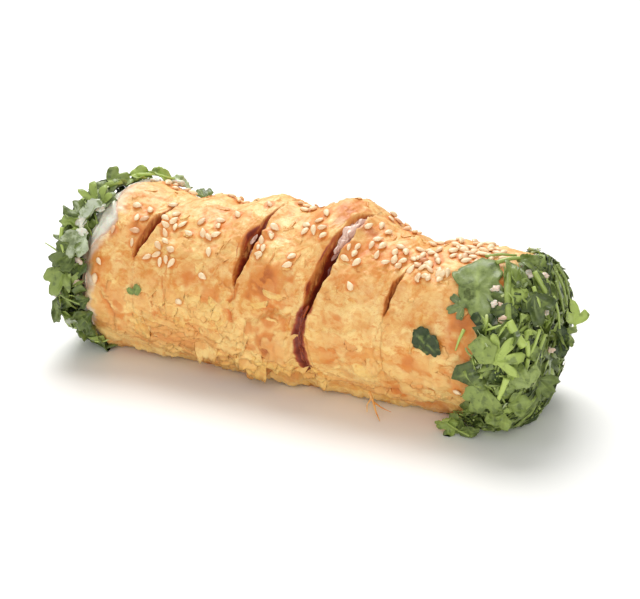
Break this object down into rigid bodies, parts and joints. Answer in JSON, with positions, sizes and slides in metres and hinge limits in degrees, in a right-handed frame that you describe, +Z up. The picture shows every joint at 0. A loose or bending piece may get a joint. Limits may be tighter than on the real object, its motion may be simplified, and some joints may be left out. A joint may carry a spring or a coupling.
{
  "type": "chicken roll",
  "caption": "Baked puff pastry tube round a chicken filling, slashed across its top, with both ends dipped in cream sauce and chopped parsley.",
  "frame": {"origin": "on the plane the roll rests on, under the middle of its pastry tube", "axes": "+X along the roll to the end with the tidier coat of herbs, +Z up, and the slashes face -Y and up"},
  "size_m": [0.1619, 0.0579, 0.0546],
  "materials": {
    "crust": "satin",
    "filling": "gloss",
    "cream": "gloss",
    "herbs": "satin",
    "leaf": "satin"
  },
  "bodies": {
    "root": {"pastry_crust": "crust", "chicken_filling": "filling", "cream_left": "cream", "cream_right": "cream", "parsley_coat_left": "herbs", "parsley_coat_right": "herbs", "parsley_leaf_large": "leaf", "parsley_leaf_small": "leaf"}
  },
  "joints": []
}
